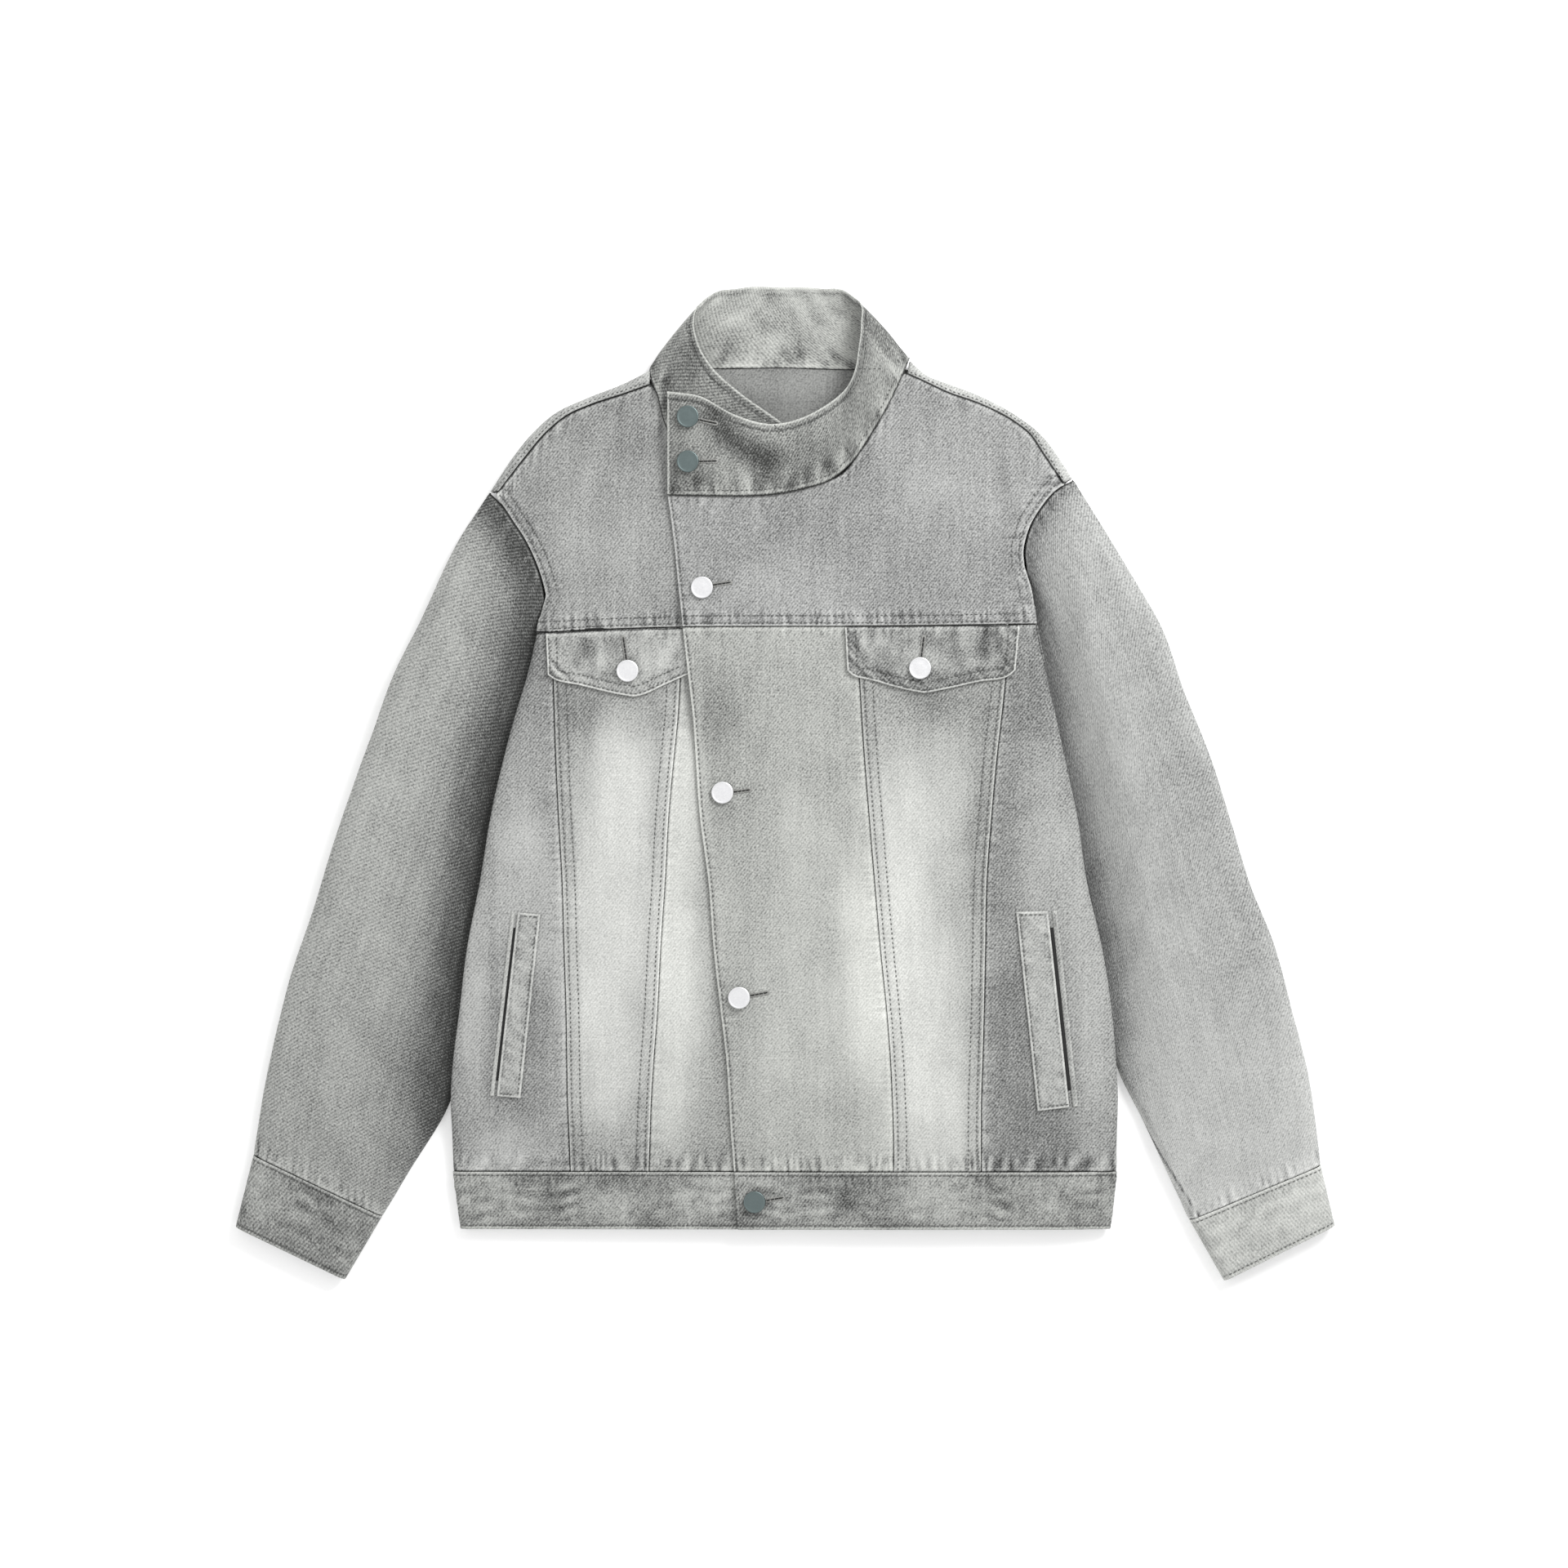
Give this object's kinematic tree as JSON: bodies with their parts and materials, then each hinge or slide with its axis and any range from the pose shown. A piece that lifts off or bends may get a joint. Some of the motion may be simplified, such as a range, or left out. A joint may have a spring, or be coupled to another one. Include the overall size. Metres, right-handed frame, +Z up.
{
  "type": "denim jacket",
  "caption": "Washed denim jacket laid flat on its back: stand collar, buttoned offset front, pointed flap pockets, slanted welt pockets, hem band and cuffs.",
  "frame": {"origin": "middle of the base of the bounding box, on the surface that the jacket lies on", "axes": "+Y from hem to collar, +Z up out of the jacket's front, +X to the right as one looks down at its front"},
  "size_m": [0.862, 0.7795, 0.0295],
  "materials": {
    "denim": "washed grey denim twill, one layer, matt",
    "denim_doubled": "the same denim, doubled and topstitched, matt",
    "buttons": "pale nickel-like metal, satin"
  },
  "bodies": {
    "root": {"back_centre": "denim", "back_side_left": "denim", "back_side_right": "denim", "back_yoke": "denim", "button_chest": "buttons", "button_collar_low": "buttons", "button_collar_top": "buttons", "button_hem": "buttons", "button_left_flap": "buttons", "button_lower": "buttons", "button_right_flap": "buttons", "button_waist": "buttons", "collar": "denim_doubled", "cuff_left": "denim_doubled", "cuff_right": "denim_doubled", "flap_left": "denim_doubled", "flap_right": "denim_doubled", "front_centre_over": "denim", "front_centre_under": "denim", "front_middle_left": "denim", "front_middle_right": "denim", "front_side_left": "denim", "front_side_right": "denim", "front_yoke_over": "denim", "front_yoke_under": "denim", "hem_band": "denim_doubled", "sleeve_left_under": "denim", "sleeve_left_upper": "denim", "sleeve_right_under": "denim", "sleeve_right_upper": "denim", "welt_left": "denim_doubled", "welt_right": "denim_doubled"}
  },
  "joints": []
}
